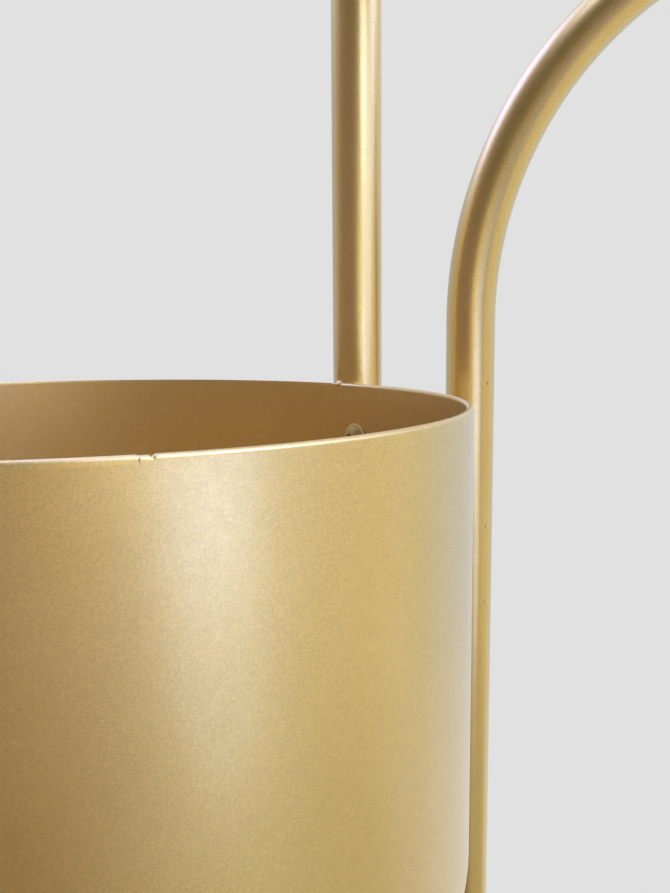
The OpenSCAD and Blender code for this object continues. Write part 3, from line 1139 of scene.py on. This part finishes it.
def weldTree():
    # Sweeps a rippled bead along every incoming line.
    tree, groupIn, groupOut = newTree("weldBead", [
        ("Bead radius", "NodeSocketFloat", weldLook["radius"]),
        ("Ripple", "NodeSocketFloat", weldLook["ripple"]),
        ("Pitch", "NodeSocketFloat", weldLook["pitch"]),
        ("Seed", "NodeSocketFloat", weldLook["seed"]),
        ("Material", "NodeSocketMaterial", None),
    ])
    line = addNode(tree, "GeometryNodeMeshToCurve")
    finer = addNode(tree, "GeometryNodeResampleCurve", {"Length": weldLook["step"]}, mode="LENGTH")
    along = addNode(tree, "GeometryNodeSplineParameter").outputs["Length"]
    whole = addNode(tree, "GeometryNodeSplineLength").outputs["Length"]
    wander = addNode(tree, "ShaderNodeTexNoise", {"Scale": 1 / weldLook["wanderSize"]}, noise_dimensions="4D")
    circle = addNode(tree, "GeometryNodeCurvePrimitiveCircle",
                     {"Resolution": weldLook["sides"], "Radius": 1.0})
    sweep = addNode(tree, "GeometryNodeCurveToMesh", {"Fill Caps": True})
    smooth = addNode(tree, "GeometryNodeSetShadeSmooth")
    link = tree.links.new
    link(groupIn.outputs["Geometry"], line.inputs["Mesh"])
    link(line.outputs["Curve"], finer.inputs["Curve"])
    link(groupIn.outputs["Seed"], wander.inputs["W"])
    turns = calculate(tree, "DIVIDE", along, groupIn.outputs["Pitch"])
    shift = remap(tree, wander.outputs["Fac"], 0, 1, 0, weldLook["wander"])
    share = calculate(tree, "FRACT", calculate(tree, "ADD", turns, shift))
    slope = calculate(tree, "POWER", share, weldLook["rise"])
    wave = calculate(tree, "MULTIPLY", slope, groupIn.outputs["Ripple"])
    toEnd = calculate(tree, "MINIMUM", along, calculate(tree, "SUBTRACT", whole, along))
    endShare = calculate(tree, "DIVIDE", toEnd, groupIn.outputs["Bead radius"])
    endShare = calculate(tree, "MINIMUM", calculate(tree, "MAXIMUM", endShare, weldLook["tip"]), 1.0)
    taper = calculate(tree, "SQRT", endShare)
    swell = calculate(tree, "MULTIPLY", calculate(tree, "ADD", wave, weldLook["hollow"]), taper)
    link(finer.outputs["Curve"], sweep.inputs["Curve"])
    link(circle.outputs["Curve"], sweep.inputs["Profile Curve"])
    link(calculate(tree, "MULTIPLY", swell, groupIn.outputs["Bead radius"]), sweep.inputs["Scale"])
    link(sweep.outputs["Mesh"], smooth.inputs["Geometry"])
    endTree(tree, groupIn, groupOut, smooth.outputs["Geometry"])
    return tree


def weldLines():
    # One upright line beside each lug, where its back meets the tube.
    points, edges = [], []
    for place, out in potScrewPlaces(weldLook["back"], False):
        side = Vector((-out.y, out.x, 0)) * (1 if out.x > 0 else -1)
        middle = place + side * weldLook["outward"]
        for step in range(weldLook["runSteps"] + 1):
            rise = weldLook["run"] * (step / weldLook["runSteps"] - 0.5)
            points.append(tuple(middle + Vector((0, 0, rise))))
            if step:
                edges.append((len(points) - 2, len(points) - 1))
    mesh = bpy.data.meshes.new("weldLines")
    mesh.from_pydata(points, edges, [])
    return mesh


welds = runTree("lugWelds", weldLines(), weldTree(), {
    "Bead radius": weldLook["radius"], "Ripple": weldLook["ripple"], "Pitch": weldLook["pitch"],
    "Seed": weldLook["seed"], "Material": gold})
finishPiece(welds, gold, "gold_paint")
print("lugs and welds made")


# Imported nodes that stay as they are

for name in legNames:
    for node in ("foot_plug_" + name, "sleeve_" + name):
        giveMaterial(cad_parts[node], zinc)


# Studio

paleBackdrop = (0.753, 0.753, 0.753)

floorLook = {
    "rings": (9.0, 3.0, 1.0),
    "sides": 96,
    "height": -0.2 * mm,
    "realTo": 0.30,       # inside this radius the floor is a real surface with shadows
    "flatFrom": 0.52,     # beyond this it is the plain backdrop
    "colour": (0.78, 0.78, 0.78),
    "roughness": 0.9,
}


def seenRays(tree):
    # 1 for rays that show the backdrop: from the camera, off gloss and through glass.
    path = addNode(tree, "ShaderNodeLightPath").outputs
    either = calculate(tree, "MAXIMUM", path["Is Camera Ray"], path["Is Glossy Ray"])
    return calculate(tree, "MAXIMUM", either, path["Is Transmission Ray"])


def glowOver(tree, share, under, colour):
    # Mixes a glow of this colour over the shader, by this share.
    glow = addNode(tree, "ShaderNodeEmission", {"Color": (*colour, 1), "Strength": 1.0})
    mix = addNode(tree, "ShaderNodeMixShader")
    for socket, source in zip(mix.inputs, (share, under, glow.outputs["Emission"])):
        tree.links.new(source, socket)
    tree.links.new(mix.outputs["Shader"], tree.nodes["Material Output"].inputs["Surface"])


def studioFloor(look):
    rings = [(radius, 0) for radius in look["rings"]]
    rows = turnProfile(rings, evenAngles(look["sides"]), (0, 0, look["height"]))
    floor = newObject("floor", gridMesh("floor", rows, endPole=(0, 0, look["height"])))
    material, tree, shader = newMaterial("floorPaper")
    shader.inputs["Base Color"].default_value = (*look["colour"], 1)
    shader.inputs["Roughness"].default_value = look["roughness"]
    coordinates = addNode(tree, "ShaderNodeTexCoord")
    length = addNode(tree, "ShaderNodeVectorMath", operation="LENGTH")
    tree.links.new(coordinates.outputs["Object"], length.inputs[0])
    far = remap(tree, length.outputs["Value"], look["realTo"], look["flatFrom"], 0.0, 1.0)
    share = calculate(tree, "MULTIPLY", far, seenRays(tree))
    glowOver(tree, share, shader.outputs["BSDF"], paleBackdrop)
    giveMaterial(floor, material)


def studioWorld():
    world = bpy.data.worlds.new("studio")
    world.use_nodes = True
    background = world.node_tree.nodes["Background"]
    background.inputs["Color"].default_value = (*paleBackdrop, 1)
    background.inputs["Strength"].default_value = 1.0
    bpy.context.scene.world = world


aimPoint = Vector((-0.10, -0.02, 0.44))     # in the pot; the cards and small lamps stand round it


def awayFrom(azimuth, elevation):
    # The direction at this azimuth (0 towards the front, 90 to the right) and elevation.
    turn, rise = math.radians(azimuth), math.radians(elevation)
    return Vector((math.sin(turn) * math.cos(rise), -math.cos(turn) * math.cos(rise), math.sin(rise)))


# Curved cards round the stand, and two flat ones just above the floor, that only show as reflections.
# The colour is what a card gives off, and the fade is how soft its sides are, as a share of its size.
cards = {
    "front": {"azimuth": (-125, 88), "elevation": (-40, 82), "fade": 0.09, "reach": 1.0,
              "colour": (0.29, 0.215, 0.185)},
    "highFront": {"azimuth": (-90, 66), "elevation": (14, 80), "fade": 0.3, "reach": 0.98,
                  "colour": (0.145, 0.128, 0.078)},
    "middleLeft": {"azimuth": (-20, 40), "elevation": (-40, 18), "fade": 0.4, "reach": 0.97,
                   "colour": (0.54, 0.45, 0.34)},
    "right": {"azimuth": (50, 120), "elevation": (-30, 18), "fade": 0.3, "reach": 0.95,
              "colour": (0.88, 0.82, 0.46)},
    "rightMiddle": {"azimuth": (52, 108), "elevation": (-26, 16), "fade": 0.45, "reach": 0.945,
                    "colour": (0.68, 0.6, 0.47)},
    "farRight": {"azimuth": (100, 172), "elevation": (-30, 24), "fade": 0.3, "reach": 0.94,
                 "colour": (0.61, 0.67, 0.75)},
    "backLeft": {"azimuth": (-185, -112), "elevation": (-40, 36), "fade": 0.2, "reach": 0.94,
                 "colour": (0.5, 0.5, 0.52)},
    "rightHigh": {"azimuth": (55, 115), "elevation": (12, 52), "fade": 0.35, "reach": 0.94,
                  "colour": (1.45, 1.7, 2.8)},
    "backHigh": {"azimuth": (-180, -88), "elevation": (30, 72), "fade": 0.25, "reach": 0.93,
                 "colour": (1.4, 1.6, 3.3)},
    "over": {"azimuth": (-180, 180), "elevation": (74, 90), "fade": 0.3, "reach": 0.92,
             "colour": (1.85, 1.95, 3)},
    "floorLeft": {"x": (-1.4, 0.16), "y": (-1.5, -0.12), "fade": 0.12, "height": 0.003,
                  "colour": (0.185, 0.125, 0.04)},
    "floorRight": {"x": (-0.2, 1.4), "y": (-1.5, 0.2), "fade": 0.12, "height": 0.002,
                   "colour": (0.5, 0.46, 0.31)},
}


def cardPoint(card, across, up):
    # A place on the card, given as shares of its width and height.
    if "x" in card:
        return (between(*card["x"], across), between(*card["y"], up), card["height"])
    away = awayFrom(between(*card["azimuth"], across), between(*card["elevation"], up))
    return tuple(aimPoint + card["reach"] * away)


def addCard(name, card, steps=24):
    points, faces, uvs = [], [], []
    for row in range(steps + 1):
        for column in range(steps + 1):
            across, up = column / steps, row / steps
            points.append(cardPoint(card, across, up))
            uvs.append((across, up))
    for row in range(steps):
        for column in range(steps):
            first = row * (steps + 1) + column
            faces.append((first, first + 1, first + steps + 2, first + steps + 1))
    mesh = bpy.data.meshes.new(name)
    mesh.from_pydata(points, [], faces)
    layer = mesh.uv_layers.new(name="card")
    for loop in mesh.loops:
        layer.data[loop.index].uv = uvs[loop.vertex_index]
    piece = newObject(name, mesh)
    material, tree = newMaterial(name)[:2]
    split = addNode(tree, "ShaderNodeSeparateXYZ")
    tree.links.new(addNode(tree, "ShaderNodeTexCoord").outputs["UV"], split.inputs["Vector"])
    solid = None
    for side in ("X", "Y"):
        if side == "X" and card.get("azimuth") == (-180, 180):
            continue        # its sides meet
        otherEdge = calculate(tree, "SUBTRACT", 1.0, split.outputs[side])
        toEdge = calculate(tree, "MINIMUM", split.outputs[side], otherEdge)
        ramp = remap(tree, toEdge, 0.0, card["fade"], 0.0, 1.0)
        solid = ramp if solid is None else calculate(tree, "MULTIPLY", solid, ramp)
    clear = addNode(tree, "ShaderNodeBsdfTransparent")
    glowOver(tree, solid, clear.outputs["BSDF"], card["colour"])
    giveMaterial(piece, material)
    for ray in ("camera", "diffuse", "transmission", "shadow"):
        setattr(piece, "visible_" + ray, False)


# Small soft lamps near the stand. The colour is how much of each channel reaches the aim point.
lamps = {
    "potFront": {"azimuth": 35, "elevation": 2, "distance": 0.30, "radius": 0.07,
                 "colour": (0.14, 0.2, 0.41)},
    "potFrontHigh": {"azimuth": 18, "elevation": 16, "distance": 0.30, "radius": 0.08,
                     "colour": (0.145, 0.13, 0.03)},
    "potLow": {"azimuth": 42, "elevation": -15, "distance": 0.55, "radius": 0.12,
               "colour": (0.125, 0.15, 0.2)},
    "potTop": {"azimuth": 45, "elevation": 48, "distance": 0.50, "radius": 0.20,
               "colour": (1.3, 1.43, 2.33), "only": ["potWall", "potDish"]},
    "legSide": {"azimuth": 55, "elevation": 8, "distance": 0.28, "radius": 0.05,
                "colour": (0.06, 0.08, 0.11), "only": ["lowArch"]},
    "tubeSide": {"azimuth": 60, "elevation": 25, "distance": 0.30, "radius": 0.13,
                 "colour": (0.44, 0.53, 0.8), "only": ["tallArch"]},
    "tubeHigh": {"azimuth": 45, "elevation": 45, "distance": 0.30, "radius": 0.07,
                 "colour": (0.27, 0.3, 0.37), "only": ["tallArch"]},
}


def addLamp(name, lamp):
    data = bpy.data.lights.new(name, "POINT")
    data.shadow_soft_size = lamp["radius"]
    data.energy = 4 * math.pi * lamp["distance"] ** 2
    data.color = lamp["colour"]
    light = newObject(name, data)
    light.location = aimPoint + awayFrom(lamp["azimuth"], lamp["elevation"]) * lamp["distance"]
    light.visible_camera = False
    light.visible_diffuse = False
    if "only" in lamp:
        lit = bpy.data.collections.new(name)
        for piece in lamp["only"]:
            lit.objects.link(bpy.data.objects[piece])
        light.light_linking.receiver_collection = lit


floorLamp = {"height": 2.2, "size": 2.5, "watts": 14}


def addFloorLamp(look):
    # One wide soft lamp from above that lights what isn't glossy, so the floor gets a soft shadow.
    data = bpy.data.lights.new("floorLamp", "AREA")
    data.size = look["size"]
    data.energy = look["watts"]
    light = newObject("floorLamp", data)
    light.location = (0, 0, look["height"])
    light.visible_camera = False
    light.visible_glossy = False


cameraPlace = {
    "lens": 37.487,
    "sensor": 36.0,
    "nearest": 0.01,
    "position": (-0.08841, -0.23202, 0.4992),
    "pitchDown": 7.5486,
    "turn": -2.4750,
    "roll": -0.3981,
}


def addCamera(place):
    data = bpy.data.cameras.new("camera")
    data.lens = place["lens"]
    data.sensor_width = place["sensor"]
    data.clip_start = place["nearest"]
    camera = newObject("camera", data)
    turn = Matrix.Rotation(math.radians(place["turn"]), 4, "Z")
    tilt = Matrix.Rotation(math.radians(90 - place["pitchDown"]), 4, "X")
    roll = Matrix.Rotation(math.radians(place["roll"]), 4, "Z")
    camera.matrix_world = Matrix.Translation(place["position"]) @ turn @ tilt @ roll
    bpy.context.scene.camera = camera


studioFloor(floorLook)
studioWorld()
for cardName, card in cards.items():
    addCard(cardName, card)
for lampName, lamp in lamps.items():
    addLamp(lampName, lamp)
addFloorLamp(floorLamp)
addCamera(cameraPlace)
bpy.context.scene.view_settings.view_transform = "Standard"
print("studio made")
